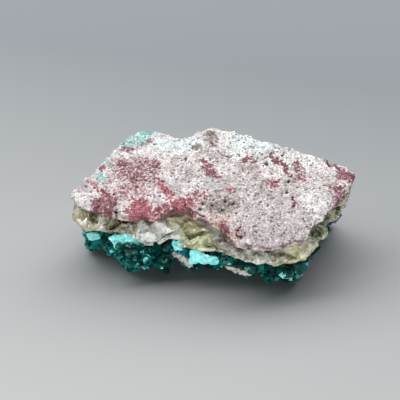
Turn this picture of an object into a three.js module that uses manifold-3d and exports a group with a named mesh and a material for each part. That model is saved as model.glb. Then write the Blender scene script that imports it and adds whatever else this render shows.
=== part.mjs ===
// A dioptase specimen that lies on its crystals, so that the back of its matrix is on top.
// A pink and white crust of host rock comes first, then a seam of honey calcite, and the emerald
// dioptase crystals that it rests on are lowest. Turquoise ledges of chrysocolla crop
// out along the foot of the calcite, and late calcite has grown on the crystals in two places.
// Units are millimetres. +X runs along the specimen, +Y away from the viewer and +Z up.
// The origin is on the surface that it rests on, under the middle of its bounding box.

import * as THREE from "three";
import { ConvexGeometry } from "three/addons/geometries/ConvexGeometry.js";
import { ImprovedNoise } from "three/addons/math/ImprovedNoise.js";
import { mergeVertices } from "three/addons/utils/BufferGeometryUtils.js";
import Module from "manifold-3d";

const wasm = await Module();
wasm.setup();

// Driving dimensions of the whole specimen
const LENGTH = 62; // along X, from the left tip to the right tip of the rock crust
const DEPTH = 34; // along Y, at the widest
const JOINT_GAP = 0.3; // left between two minerals that touch
const HALF_GAP = JOINT_GAP / 2;

// Levels of the three layers, at the middle of the specimen
const ROCK_TOP = 12.9;
const ROCK_TILT_Y = 0.21; // the top falls towards the viewer by this much per millimetre
const ROCK_TILT_X = 0.012;
const ROCK_DOME = 1.7;
const ROCK_EDGE_THICKNESS = 0.95;
const ROCK_MIDDLE_THICKNESS = 3.4;
const CALCITE_FOOT = 6.5; // where calcite ends and dioptase begins
const DRUSE_UNDERSIDE = 3.6; // of the solid base that the crystals grow from
const FAR = 60; // half the size of the blocks that cut the layers apart

// Stations round the broken edge, anticlockwise from the left tip. Each gives a point on the rim of
// the rock crust, on the foot of the calcite and on the edge of the dioptase, all as [x, y].
const STATIONS = [
  { rim: [-30.2, -0.8], calcite: [-28.4, -1.6], druse: [-27.0, -0.6] },
  { rim: [-28.9, -3.1], calcite: [-28.2, -4.2], druse: [-27.0, -3.4] },
  { rim: [-26.4, -4.7], calcite: [-26.6, -5.8], druse: [-26.0, -5.0] },
  { rim: [-23.5, -5.4], calcite: [-23.8, -5.8], druse: [-23.6, -6.0] },
  { rim: [-19.8, -6.5], calcite: [-20.6, -7.0], druse: [-20.6, -8.0] },
  { rim: [-17.2, -7.3], calcite: [-17.4, -6.4], druse: [-17.8, -9.2] },
  { rim: [-13.3, -7.2], calcite: [-14.2, -9.9], druse: [-14.0, -10.2] },
  { rim: [-9.8, -6.9], calcite: [-10.4, -10.2], druse: [-11.2, -9.6] },
  { rim: [-7.4, -5.6], calcite: [-8.0, -8.8], druse: [-9.2, -8.2] },
  { rim: [-5.4, -5.7], calcite: [-6.2, -9.6], druse: [-6.8, -8.4] },
  { rim: [-3.1, -7.1], calcite: [-4.4, -11.5], druse: [-5.0, -10.6] },
  { rim: [-0.8, -8.5], calcite: [-1.4, -11.8], druse: [-2.4, -11.2] },
  { rim: [0.9, -9.9], calcite: [1.0, -12.1], druse: [0.8, -11.4] },
  { rim: [2.1, -11.6], calcite: [2.8, -12.5], druse: [3.2, -12.6] },
  { rim: [4.2, -13.3], calcite: [4.8, -13.0], druse: [5.8, -13.2] },
  { rim: [7.4, -14.2], calcite: [7.4, -14.0], druse: [8.6, -13.8] },
  { rim: [11.2, -14.5], calcite: [11.0, -15.3], druse: [11.4, -14.4] },
  { rim: [14.4, -13.8], calcite: [14.6, -14.5], druse: [14.2, -15.2] },
  { rim: [18.3, -12.8], calcite: [18.9, -14.1], druse: [17.0, -14.4] },
  { rim: [19.9, -10.4], calcite: [21.2, -10.8], druse: [19.2, -11.4] },
  { rim: [22.4, -6.7], calcite: [23.0, -6.8], druse: [21.2, -7.0] },
  { rim: [25.0, -3.7], calcite: [25.0, -3.2], druse: [23.0, -3.2] },
  { rim: [27.2, -1.2], calcite: [26.8, -1.6], druse: [24.4, -0.8] },
  { rim: [28.8, 1.2], calcite: [27.9, 1.2], druse: [25.6, 1.4] },
  { rim: [30.1, 3.8], calcite: [28.2, 3.6], druse: [26.0, 3.4] },
  { rim: [27.6, 5.4], calcite: [26.6, 5.2], druse: [24.8, 4.6] },
  { rim: [22.0, 8.6], calcite: [21.8, 8.2], druse: [21.2, 7.0] },
  { rim: [13.7, 11.0], calcite: [13.7, 11.1], druse: [13.5, 10.4] },
  { rim: [8.6, 13.4], calcite: [8.5, 13.1], druse: [8.2, 12.4] },
  { rim: [4.3, 14.9], calcite: [4.3, 14.8], druse: [4.1, 13.8] },
  { rim: [-0.6, 15.7], calcite: [-0.6, 15.1], druse: [-0.6, 14.5] },
  { rim: [-6.5, 13.8], calcite: [-6.5, 14.0], druse: [-6.4, 13.4] },
  { rim: [-12.3, 15.4], calcite: [-12.2, 14.8], druse: [-12.0, 13.8] },
  { rim: [-16.4, 15.2], calcite: [-16.1, 14.3], druse: [-15.4, 13.2] },
  { rim: [-19.9, 12.8], calcite: [-19.3, 12.2], druse: [-18.3, 11.4] },
  { rim: [-22.6, 8.6], calcite: [-22.0, 8.2], druse: [-21.3, 7.9] },
  { rim: [-25.3, 4.4], calcite: [-24.7, 4.0], druse: [-24.1, 3.6] },
  { rim: [-28.2, 1.2], calcite: [-27.2, 0.8], druse: [-26.4, 0.8] },
];

// Small helpers shared by every mineral

const perlin = new ImprovedNoise();

// Smooth noise between about -1 and 1, whose lumps are lumpSize across.
function lumps(x, y, z, lumpSize) {
  return perlin.noise(x / lumpSize + 31.7, y / lumpSize + 11.3, z / lumpSize + 5.9);
}

// A repeatable stream of numbers from 0 to 1.
function seeded(seed) {
  let state = seed;
  return () => {
    state = (state + 0x6d2b79f5) | 0;
    let t = Math.imul(state ^ (state >>> 15), 1 | state);
    t = (t + Math.imul(t ^ (t >>> 7), 61 | t)) ^ t;
    return ((t ^ (t >>> 14)) >>> 0) / 4294967296;
  };
}

function between(low, high, random) {
  return low + (high - low) * random();
}

// A round bump or hollow centred on (cx, cy), 1 at its centre and falling off over its reach.
function mound(x, y, cx, cy, reach) {
  return Math.exp(-((x - cx) ** 2 + (y - cy) ** 2) / (reach * reach));
}

function solidOf(geometry) {
  const bare = geometry.clone();
  bare.deleteAttribute("normal");
  bare.deleteAttribute("uv");
  const merged = mergeVertices(bare, 1e-4);
  return new wasm.Manifold(
    new wasm.Mesh({
      numProp: 3,
      vertProperties: merged.attributes.position.array,
      triVerts: new Uint32Array(merged.index.array),
    }),
  );
}

function geometryOf(solid) {
  const mesh = solid.getMesh();
  const geometry = new THREE.BufferGeometry();
  geometry.setAttribute("position", new THREE.BufferAttribute(mesh.vertProperties, 3));
  geometry.setIndex(new THREE.BufferAttribute(mesh.triVerts, 1));
  geometry.computeVertexNormals();
  return geometry;
}

// The largest connected body of a solid, without crumbs that a cut has left loose.
function mainBody(solid) {
  const bodies = solid.decompose();
  return bodies.reduce((best, body) => (body.volume() > best.volume() ? body : best));
}

// The ring of points that place(station) gives, moved out by an offset, with each stretch between
// two stations divided into steps no longer than maxStep.
function outline(place, offset, maxStep) {
  const ring = STATIONS.map((station) => new THREE.Vector2(...place(station)));
  const corners = ring.map((point, i) => {
    const before = ring.at(i - 1);
    const after = ring[(i + 1) % ring.length];
    const normal = new THREE.Vector2(after.y - before.y, before.x - after.x).normalize();
    return point.clone().addScaledVector(normal, offset);
  });
  return corners.flatMap((corner, i) => {
    const next = (i + 1) % STATIONS.length;
    const [x, y] = STATIONS[i].rim;
    const [nextX, nextY] = STATIONS[next].rim;
    const steps = Math.ceil(Math.hypot(nextX - x, nextY - y) / maxStep);
    return Array.from({ length: steps }, (_, k) => corner.clone().lerp(corners[next], k / steps));
  });
}

function onRim(station) {
  return station.rim;
}

function onCalcite(station) {
  return station.calcite;
}

function onDruse(station) {
  return station.druse;
}

// Part of the way from the rim of the rock to the foot of the calcite.
function onCalciteFace(station) {
  const share = 0.4;
  return station.rim.map((value, axis) => value + share * (station.calcite[axis] - value));
}

// A closed wall through outlines at rising heights. roughness moves each point in and out.
function wall(levels, maxStep, roughness, lumpSize) {
  const rings = levels.map(({ z, place, offset }) =>
    outline(place, offset, maxStep).map((point) => {
      const shift = roughness * lumps(point.x, point.y, z * 2, lumpSize);
      const out = point.clone().normalize().multiplyScalar(shift);
      return new THREE.Vector3(point.x + out.x, point.y + out.y, z);
    }),
  );
  const count = rings[0].length;
  const points = [new THREE.Vector3(0, 0, levels[0].z), ...rings.flat()];
  points.push(new THREE.Vector3(0, 0, levels.at(-1).z));
  const top = points.length - 1;
  const at = (ring, i) => 1 + ring * count + (i % count);
  const faces = [];
  for (let i = 0; i < count; i++) {
    faces.push(0, at(0, i + 1), at(0, i));
    faces.push(top, at(rings.length - 1, i), at(rings.length - 1, i + 1));
    for (let ring = 0; ring + 1 < rings.length; ring++) {
      faces.push(at(ring, i), at(ring, i + 1), at(ring + 1, i + 1));
      faces.push(at(ring, i), at(ring + 1, i + 1), at(ring + 1, i));
    }
  }
  const geometry = new THREE.BufferGeometry().setFromPoints(points);
  geometry.setIndex(faces);
  return solidOf(geometry);
}

// Everything below the surface z = height(x, y), which is divided into square cells.
function below(height, cell) {
  const columns = Math.ceil((LENGTH + 8) / cell);
  const rows = Math.ceil((DEPTH + 8) / cell);
  const geometry = new THREE.BoxGeometry(columns * cell, rows * cell, 2 * FAR, columns, rows, 1);
  const position = geometry.attributes.position;
  for (let i = 0; i < position.count; i++) {
    if (position.getZ(i) > 0) position.setZ(i, height(position.getX(i), position.getY(i)));
  }
  return solidOf(geometry);
}

// A convex lump from its corners, given as [x, y, z].
function lump(corners) {
  return new ConvexGeometry(corners.map((corner) => new THREE.Vector3(...corner)));
}

// The same convex lump with every corner pushed away from its middle, for cutting a seat with a gap.
function seatOf(corners) {
  const points = corners.map((corner) => new THREE.Vector3(...corner));
  const middle = points
    .reduce((sum, point) => sum.add(point), new THREE.Vector3())
    .divideScalar(points.length);
  const grown = points.map((point) => {
    const out = point.clone().sub(middle);
    return point.clone().add(out.setLength(2 * JOINT_GAP));
  });
  return solidOf(new ConvexGeometry(grown));
}

// The surfaces between the layers

// 1 in the middle of the specimen and 0 at its rim.
function towardsMiddle(x, y) {
  return Math.max(0, 1 - (x / (LENGTH / 2)) ** 2 - (y / (DEPTH / 2)) ** 2);
}

function rockPlane(x, y) {
  return ROCK_TOP + ROCK_TILT_Y * y + ROCK_TILT_X * x + ROCK_DOME * towardsMiddle(x, y);
}

// The long straight groove where a blade of red mineral has fallen out.
function bladeGroove(x, y) {
  const start = new THREE.Vector2(11.0, 8.2);
  const end = new THREE.Vector2(17.2, 1.4);
  const along = end.clone().sub(start);
  const point = new THREE.Vector2(x, y).sub(start);
  const share = THREE.MathUtils.clamp(point.dot(along) / along.lengthSq(), 0, 1);
  const distance = point.sub(along.multiplyScalar(share)).length();
  return Math.exp(-((distance / 1.1) ** 2));
}

function rockSurface(x, y) {
  const relief =
    0.7 * mound(x, y, 1, 13.5, 5) + // the crest of the back edge
    0.7 * mound(x, y, -14, 12, 5) +
    0.5 * mound(x, y, 12, -12, 6) - // the broad swell of the front lobe
    0.8 * mound(x, y, -6, 12, 3.4) - // the dip between the two crests
    0.6 * mound(x, y, -15, -5, 4) - // worn red hollows on the left
    0.7 * mound(x, y, 1.5, -6.5, 3) - // vugs above the notch
    0.6 * bladeGroove(x, y);
  const broad = 0.65 * lumps(x, y, 0, 7);
  const small = 0.42 * lumps(x, y, 9, 2.7);
  return rockPlane(x, y) + relief + broad + small;
}

function rockUnderside(x, y) {
  const thickness = THREE.MathUtils.lerp(
    ROCK_EDGE_THICKNESS,
    ROCK_MIDDLE_THICKNESS,
    Math.sqrt(towardsMiddle(x, y)),
  );
  return rockPlane(x, y) - thickness + 0.5 * lumps(x, y, 20, 12);
}

function calciteUnderside(x, y) {
  const rise = 1.1 * mound(x, y, -8, -10, 3) - 0.5 * mound(x, y, 12, -15, 6);
  return CALCITE_FOOT + 0.05 * y + rise + 0.5 * lumps(x, y, 40, 9);
}

// Clusters of crystals that hang lower than the rest: the specimen stands on these.
const FEET = [
  { x: -15.4, y: -5.0, reach: 5.0 },
  { x: 15.0, y: -11.9, reach: 5.0 },
  { x: 13.5, y: 4.5, reach: 5.0 },
  { x: -12.5, y: 8.5, reach: 5.5 },
];

function druseUnderside(x, y) {
  const feet = FEET.reduce((sum, foot) => sum + 1.6 * mound(x, y, foot.x, foot.y, foot.reach), 0);
  return DRUSE_UNDERSIDE + 0.02 * y - feet + 0.5 * lumps(x, y, 60, 5);
}

const CELL_FINE = 1.95;
const CELL_COARSE = 5.5;
const CELL_UNDERSIDE = 4.8;
const belowRockUnderside = below((x, y) => rockUnderside(x, y) + HALF_GAP, CELL_COARSE);
const belowCalciteTop = below((x, y) => rockUnderside(x, y) - HALF_GAP, CELL_COARSE);
const belowCalciteUnderside = below((x, y) => calciteUnderside(x, y) + HALF_GAP, CELL_COARSE);
const belowDruseTop = below((x, y) => calciteUnderside(x, y) - HALF_GAP, CELL_COARSE);

// Host rock: a thin, granular plate with a sharp broken rim, small vugs and worn hollows

const VUGS = [
  { x: -1.2, y: -6.6, z: 13.1, size: 1.2 },
  { x: 1.4, y: -5.4, z: 13.3, size: 1.0 },
  { x: 3.6, y: -5.0, z: 13.4, size: 1.3 },
  { x: 5.6, y: -12.2, z: 11.2, size: 1.1 },
  { x: 3.0, y: -11.0, z: 11.6, size: 0.9 },
  { x: 9.0, y: 6.4, z: 15.4, size: 0.9 },
  { x: 12.6, y: 8.8, z: 15.6, size: 0.8 },
  { x: -20.6, y: -6.6, z: 12.4, size: 1.0 },
  { x: 24.8, y: 6.2, z: 14.4, size: 1.0 },
];

function hostRock() {
  const shell = wall(
    [
      { z: 2, place: onRim, offset: -1.6 },
      { z: 9, place: onRim, offset: -0.3 },
      { z: 12.5, place: onRim, offset: 0 },
      { z: 24, place: onRim, offset: -0.6 },
    ],
    2.1,
    0.75,
    1.7,
  );
  const vugs = VUGS.map(({ x, y, z, size }) =>
    solidOf(new THREE.IcosahedronGeometry(size, 0).translate(x, y, z + 0.35 * size)),
  );
  return shell
    .intersect(below(rockSurface, CELL_FINE))
    .subtract(belowRockUnderside)
    .subtract(wasm.Manifold.union(vugs));
}

// Calcite: cleaved blocks of one crystal mass, with flat faces that meet at calcite's angles

const CLEAVAGE_COSINE = 0.4426; // of the angle between each rhomb edge and the rhomb's long axis

// A cleavage rhomb: a cube sheared until its edges meet at 102 degrees, turned by Euler angles.
function rhomb({ x, y, z, size, turn }) {
  const sine = Math.sqrt(1 - CLEAVAGE_COSINE ** 2);
  const edges = [0, 1, 2].map((k) => {
    const angle = (k * 2 * Math.PI) / 3;
    return new THREE.Vector3(sine * Math.cos(angle), sine * Math.sin(angle), CLEAVAGE_COSINE);
  });
  const place = new THREE.Matrix4()
    .makeRotationFromEuler(new THREE.Euler(...turn))
    .multiply(new THREE.Matrix4().makeBasis(...edges))
    .scale(new THREE.Vector3(...size))
    .setPosition(x, y, z);
  return solidOf(new THREE.BoxGeometry(1, 1, 1).applyMatrix4(place));
}

// The blocks that show on the near side and the right end, by where they stand.
const NEAR_BLOCKS = [
  { x: -26.2, y: -3.0, z: 8.8, size: [4, 4, 4], turn: [0.3, 0.1, 0.5] },
  { x: -23.2, y: -4.2, z: 8.8, size: [3.2, 3.2, 3.2], turn: [0.9, 0.4, 0.2] },
  { x: -20.4, y: -5.4, z: 8.8, size: [3.4, 3.2, 3.2], turn: [0.2, 0.5, 1.1] },
  { x: -16.0, y: -6.2, z: 8.6, size: [4, 3.6, 3.6], turn: [0.6, 0.2, 0.8] },
  { x: -12.4, y: -7.4, z: 8.3, size: [4.6, 4.2, 4.2], turn: [0.7, -0.2, 0.3] },
  { x: -8.6, y: -7.2, z: 8.9, size: [3, 3, 4], turn: [0.4, 0.3, 2.0] },
  { x: -3.8, y: -7.9, z: 8.0, size: [6.2, 5.4, 5.4], turn: [0.5, -0.1, 0.9] },
  { x: 1.4, y: -9.8, z: 7.9, size: [4.6, 4, 4], turn: [0.9, 0.1, 0.4] },
  { x: 6.4, y: -12.2, z: 7.6, size: [3.8, 3.6, 3.6], turn: [0.3, 0.2, 1.3] },
  { x: 11.6, y: -13.0, z: 7.4, size: [4.2, 3.6, 3.6], turn: [0.6, 0.1, 0.2] },
  { x: 17.4, y: -11.2, z: 7.8, size: [5.6, 4.8, 4.4], turn: [0.4, 0.4, 0.8] },
  { x: 21.2, y: -6.0, z: 8.5, size: [4.2, 4, 4], turn: [0.8, -0.3, 1.5] },
  { x: 24.8, y: -1.2, z: 9.4, size: [3.8, 3.8, 3.6], turn: [0.2, 0.1, 0.1] },
];

// The blocks round the far side, which the same break has left in steps.
function farBlocks() {
  const random = seeded(17);
  const rim = outline(onRim, -2.6, 8);
  return rim
    .filter((point) => point.y > 4 && Math.abs(point.x) < 26)
    .map((point) => ({
      x: point.x,
      y: point.y,
      z: between(8.5, 12, random),
      size: [between(3.2, 5, random), between(3.2, 4.4, random), between(3.2, 4.4, random)],
      turn: [between(0, 1, random), between(-0.4, 0.5, random), between(0, 2, random)],
    }));
}

function calciteSeam(ledgeSeats) {
  const core = wall(
    [
      { z: 3, place: onCalcite, offset: 0 },
      { z: CALCITE_FOOT, place: onCalcite, offset: 0 },
      { z: 9.6, place: onCalciteFace, offset: -0.4 },
      { z: 12.6, place: onRim, offset: -0.8 },
      { z: 20, place: onRim, offset: -1.0 },
    ],
    5,
    0.5,
    3.1,
  );
  const blocks = [...NEAR_BLOCKS, ...farBlocks()].map(rhomb);
  return wasm.Manifold.union([core, ...blocks])
    .intersect(belowCalciteTop)
    .subtract(belowCalciteUnderside)
    .subtract(ledgeSeats);
}

// Dioptase: stubby six-sided crystals, each ended by three faces over alternate edges, that cover
// the whole underside of the seam and are grown together into one crust

const END_SLOPE = 1.23; // of the three end faces, from the mineral's axial ratio

// One crystal along +Z with its root at the origin.
function dioptaseCrystal(radius, length) {
  const points = [new THREE.Vector3(0, 0, length)];
  for (let edge = 0; edge < 6; edge++) {
    const angle = (edge * Math.PI) / 3;
    const x = radius * Math.cos(angle);
    const y = radius * Math.sin(angle);
    const drop = END_SLOPE * radius * (edge % 2 === 0 ? 1 : 0.5);
    points.push(new THREE.Vector3(x, y, length - drop));
    points.push(new THREE.Vector3(x, y, -radius));
  }
  return new ConvexGeometry(points);
}

// A crystal of about the given radius, rooted at root, whose point leans along the direction grows.
function plantedCrystal(root, grows, size, random) {
  const radius = size * between(0.75, 1.25, random);
  const length = radius * between(1.35, 1.8, random);
  const lean = new THREE.Vector3(random() - 0.5, random() - 0.5, random() - 0.5);
  const direction = grows.clone().addScaledVector(lean, 1.1).normalize();
  const spin = new THREE.Quaternion().setFromAxisAngle(
    new THREE.Vector3(0, 0, 1),
    between(0, Math.PI, random),
  );
  const turn = new THREE.Quaternion()
    .setFromUnitVectors(new THREE.Vector3(0, 0, 1), direction)
    .multiply(spin);
  const place = new THREE.Matrix4().compose(root, turn, new THREE.Vector3(1, 1, 1));
  return solidOf(dioptaseCrystal(radius, length).applyMatrix4(place));
}

// Crystals in two rows round the edge of the crust, the upper one pointing straight out.
function edgeCrystals(random) {
  const rows = [
    { z: 4.8, inset: -1.3, fall: -0.1, every: 1 },
    { z: 2.8, inset: -1.6, fall: -0.8, every: 2 },
  ];
  return rows.flatMap(({ z, inset, fall, every }) =>
    outline(onDruse, inset, 5)
      .filter((_, i) => i % every === 0)
      .map((point) => {
        const grows = new THREE.Vector3(point.x / 3, point.y, 0).normalize();
        const root = new THREE.Vector3(point.x, point.y, z + between(-0.5, 0.5, random));
        return plantedCrystal(root, grows.setZ(fall).normalize(), 1.75, random);
      }),
  );
}

// Crystals over the underside, in staggered rows with some scatter.
function undersideCrystals(random) {
  const pitch = 5.3;
  const crystals = [];
  for (let row = -3; row <= 3; row++) {
    for (let column = -5; column <= 5; column++) {
      const x = (column + (row % 2 ? 0.5 : 0)) * pitch + between(-1, 1, random);
      const y = row * pitch * 0.87 + between(-1, 1, random);
      const radial = Math.hypot(x / (LENGTH / 2 - 6), (y - 0.06 * x) / (DEPTH / 2 - 4.5));
      const root = new THREE.Vector3(x, y, druseUnderside(x, y) + 0.7);
      const crystal = plantedCrystal(root, new THREE.Vector3(x / 90, y / 60, -1), 2.3, random);
      if (radial < 1) crystals.push(crystal);
    }
  }
  return crystals;
}

// One wide, low crystal in each foot, worn flat where the specimen has stood.
function footCrystals() {
  return FEET.map(({ x, y }, i) => {
    const place = new THREE.Matrix4()
      .makeRotationFromEuler(new THREE.Euler(Math.PI + 0.12, 0.1 - 0.05 * i, 0.7 * i))
      .setPosition(x, y, 3.2);
    return solidOf(dioptaseCrystal(2.6, 4.6).applyMatrix4(place));
  });
}

function dioptaseDruse(ledgeSeats, lateSeats) {
  const random = seeded(7);
  const base = wall(
    [
      { z: -1, place: onDruse, offset: -3.2 },
      { z: 2, place: onDruse, offset: -1.6 },
      { z: 4.6, place: onDruse, offset: -0.5 },
      { z: 12, place: onDruse, offset: -1.0 },
    ],
    7,
    0.6,
    3.1,
  ).subtract(below(druseUnderside, CELL_UNDERSIDE));
  const crystals = [...edgeCrystals(random), ...undersideCrystals(random), ...footCrystals()];
  const ground = solidOf(new THREE.BoxGeometry(2 * FAR, 2 * FAR, FAR).translate(0, 0, -FAR / 2));
  return wasm.Manifold.union([base, ...crystals])
    .intersect(belowDruseTop)
    .subtract(ground)
    .subtract(ledgeSeats)
    .subtract(lateSeats);
}

// Chrysocolla: flat turquoise ledges that slope out from the foot of the calcite. The first four
// corners of each are its visible face.

const LEDGES = {
  chrysocolla_ledge_left_end: [
    [-26.4, -6.5, 6.3],
    [-23.5, -6.7, 6.4],
    [-23.4, -7.7, 5.5],
    [-25.4, -7.8, 5.3],
    [-25.6, -5.8, 4.9],
    [-24.0, -5.8, 4.9],
  ],
  chrysocolla_ledge_left: [
    [-21.6, -7.7, 6.4],
    [-16.6, -6.7, 7.1],
    [-14.8, -9.6, 5.6],
    [-19.4, -9.6, 5.1],
    [-19.4, -6.4, 4.9],
    [-16.2, -6.4, 4.9],
  ],
  chrysocolla_ledge_notch: [
    [-8.2, -9.0, 7.2],
    [-6.2, -9.4, 7.2],
    [-6.3, -10.8, 6.3],
    [-7.9, -10.5, 6.3],
    [-7.8, -8.6, 5.4],
    [-6.4, -8.8, 5.4],
  ],
  chrysocolla_ledge_middle: [
    [-4.8, -11.2, 6.9],
    [2.4, -12.6, 6.3],
    [1.0, -13.4, 4.9],
    [-4.9, -13.3, 4.8],
    [-3.8, -10.8, 4.4],
    [1.0, -11.6, 4.4],
  ],
  chrysocolla_ledge_right: [
    [17.6, -14.6, 6.3],
    [20.0, -13.7, 6.4],
    [19.8, -14.0, 4.6],
    [17.9, -15.0, 4.6],
    [17.8, -13.2, 4.2],
    [19.2, -12.6, 4.2],
  ],
};

// Late calcite: pale crystals that grew last, on the underside of the dioptase

const LATE_CALCITE = {
  late_calcite_left: [
    [-6.4, -10.9, 3.9],
    [-4.2, -11.6, 4.2],
    [-4.0, -12.4, 2.7],
    [-4.9, -12.2, 2.1],
    [-6.0, -11.4, 2.6],
    [-5.2, -9.8, 2.4],
    [-4.6, -9.9, 4.3],
  ],
  late_calcite_right: [
    [3.4, -13.4, 3.0],
    [7.4, -14.6, 2.9],
    [8.2, -14.8, 2.0],
    [6.8, -14.7, 1.7],
    [4.8, -14.1, 1.8],
    [3.6, -13.5, 2.1],
    [5.4, -11.8, 1.8],
    [7.4, -12.6, 3.2],
  ],
};

// Colours as seen on the specimen

const materials = {
  rock: new THREE.MeshStandardMaterial({ color: 0xcfc0c0, roughness: 0.9, metalness: 0 }),
  calcite: new THREE.MeshStandardMaterial({ color: 0xa59d7c, roughness: 0.35, metalness: 0 }),
  lateCalcite: new THREE.MeshStandardMaterial({ color: 0xc9c0b2, roughness: 0.4, metalness: 0 }),
  dioptase: new THREE.MeshStandardMaterial({ color: 0x0c5a50, roughness: 0.15, metalness: 0 }),
  chrysocolla: new THREE.MeshStandardMaterial({ color: 0x6fd0ca, roughness: 0.5, metalness: 0 }),
};

function named(name, geometry, material) {
  const mesh = new THREE.Mesh(geometry, material);
  mesh.name = name;
  return mesh;
}

// Putting the specimen together

const ledgeSeats = wasm.Manifold.union(Object.values(LEDGES).map(seatOf));
const lateSeats = wasm.Manifold.union(Object.values(LATE_CALCITE).map(seatOf));

const specimen = new THREE.Group();
specimen.add(
  named("host_rock", geometryOf(mainBody(hostRock())), materials.rock),
  named("calcite_seam", geometryOf(mainBody(calciteSeam(ledgeSeats))), materials.calcite),
  named("dioptase_druse", geometryOf(mainBody(dioptaseDruse(ledgeSeats, lateSeats))), materials.dioptase),
);
for (const [name, corners] of Object.entries(LEDGES)) {
  specimen.add(named(name, lump(corners), materials.chrysocolla));
}
for (const [name, corners] of Object.entries(LATE_CALCITE)) {
  specimen.add(named(name, lump(corners), materials.lateCalcite));
}

// The origin goes under the middle of the bounding box, on the resting plane.
const bounds = new THREE.Box3().setFromObject(specimen);
const middle = bounds.getCenter(new THREE.Vector3());
specimen.position.set(-middle.x, -middle.y, -bounds.min.z);

export default specimen;
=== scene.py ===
# A dioptase specimen that lies on its crystals: a plate of pink and white host rock, a seam of
# honey calcite under it, and a crust of emerald dioptase under that, with turquoise ledges of
# chrysocolla between the last two. All is in metres, in the frame of the solids.

import math
import random

import bmesh
import bpy
import numpy as np
from mathutils import Matrix, Vector, kdtree, noise


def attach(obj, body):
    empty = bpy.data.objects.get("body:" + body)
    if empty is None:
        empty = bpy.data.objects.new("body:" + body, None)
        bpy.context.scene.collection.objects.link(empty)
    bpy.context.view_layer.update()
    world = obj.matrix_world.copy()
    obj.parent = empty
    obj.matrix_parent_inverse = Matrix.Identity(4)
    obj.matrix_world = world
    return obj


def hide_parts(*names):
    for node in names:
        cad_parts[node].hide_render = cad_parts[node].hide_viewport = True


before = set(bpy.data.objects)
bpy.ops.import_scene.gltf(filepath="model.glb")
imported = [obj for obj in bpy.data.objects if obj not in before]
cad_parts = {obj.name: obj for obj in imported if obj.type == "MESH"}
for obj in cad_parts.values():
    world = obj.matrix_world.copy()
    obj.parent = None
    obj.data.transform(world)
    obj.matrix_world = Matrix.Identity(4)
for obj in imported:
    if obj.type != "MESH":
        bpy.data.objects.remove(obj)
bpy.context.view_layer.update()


# Host rock
#
# The back of the matrix: a thin plate of sugary feldspar and quartz grains, broken all round.
# Iron has stained parts of it wine and red, copper has left a turquoise film on its back corner,
# and small vugs and lost grains pit it.

MM = 0.001
ROCK_SKIN_CELL = 0.21 * MM
ROCK_SKIN_SMOOTHING = 9

# How far the broken edge is drawn in below, how far in from the edge that reaches, how far above
# the edge it starts, the depth over which it grows, and where it dies away to the right
UNDERCUT = 0.8 * MM
UNDERCUT_REACH = 3.0 * MM
UNDERCUT_START = 0.3 * MM
UNDERCUT_DEPTH = 1.1 * MM
UNDERCUT_END = (5 * MM, 1 * MM)

# Layers of lumps, all over and on the broken edge: height and size in millimetres, and a seed
ROCK_LUMPS = [(0.16, 2.4, 1), (0.13, 1.1, 2)]
ROCK_EDGE_LUMPS = [(0.60, 1.3, 3), (0.42, 2.8, 15), (0.42, 0.5, 9)]
# The grains that stand out, their height, and the share of a grain that is level with the skin
ROCK_GRAIN = 0.62 * MM
ROCK_GRAIN_HEIGHT = 0.12
ROCK_GRAIN_LEVEL = 0.6
# A pit's depth as a share of its radius, and a lost grain's size and depth in millimetres
PIT_DEPTH = 1.3
LOST_GRAIN = 0.75
LOST_GRAIN_DEPTH = 0.22
# How far the stains' outlines wander, in broad and in fine lumps: distance and size in
# millimetres, and two seeds
STAIN_WANDER = (0.9, 1.8, (5, 6))
STAIN_RAGGED = (0.55, 0.6, (7, 8))

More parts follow.
